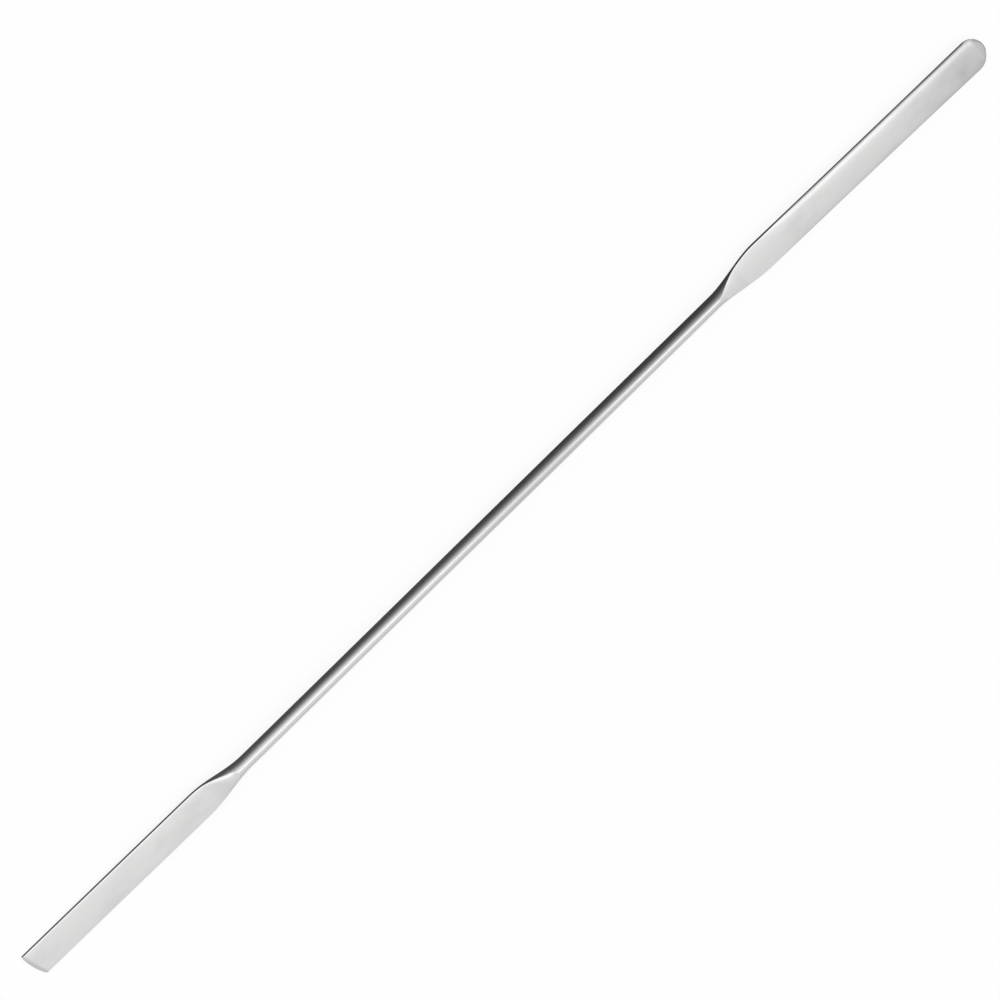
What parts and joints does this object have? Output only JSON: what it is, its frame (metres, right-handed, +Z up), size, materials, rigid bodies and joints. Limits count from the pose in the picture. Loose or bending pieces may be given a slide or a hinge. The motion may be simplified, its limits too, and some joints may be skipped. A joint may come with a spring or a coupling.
{
  "type": "lab spatula",
  "caption": "Double-ended micro spatula: a round steel rod with both ends hammered flat, one blade with a round tip and one cut square, for handling small amounts of powder.",
  "frame": {"origin": "middle of the length, under the rod's centre line, on the surface that the spatula lies on", "axes": "+X along the rod towards the round tip, +Z up out of the blades' upper faces"},
  "size_m": [0.25, 0.0074, 0.0034],
  "materials": {
    "steel": "stainless steel, polished and then brushed along its length by use"
  },
  "bodies": {
    "root": {"spatula": "steel"}
  },
  "joints": []
}
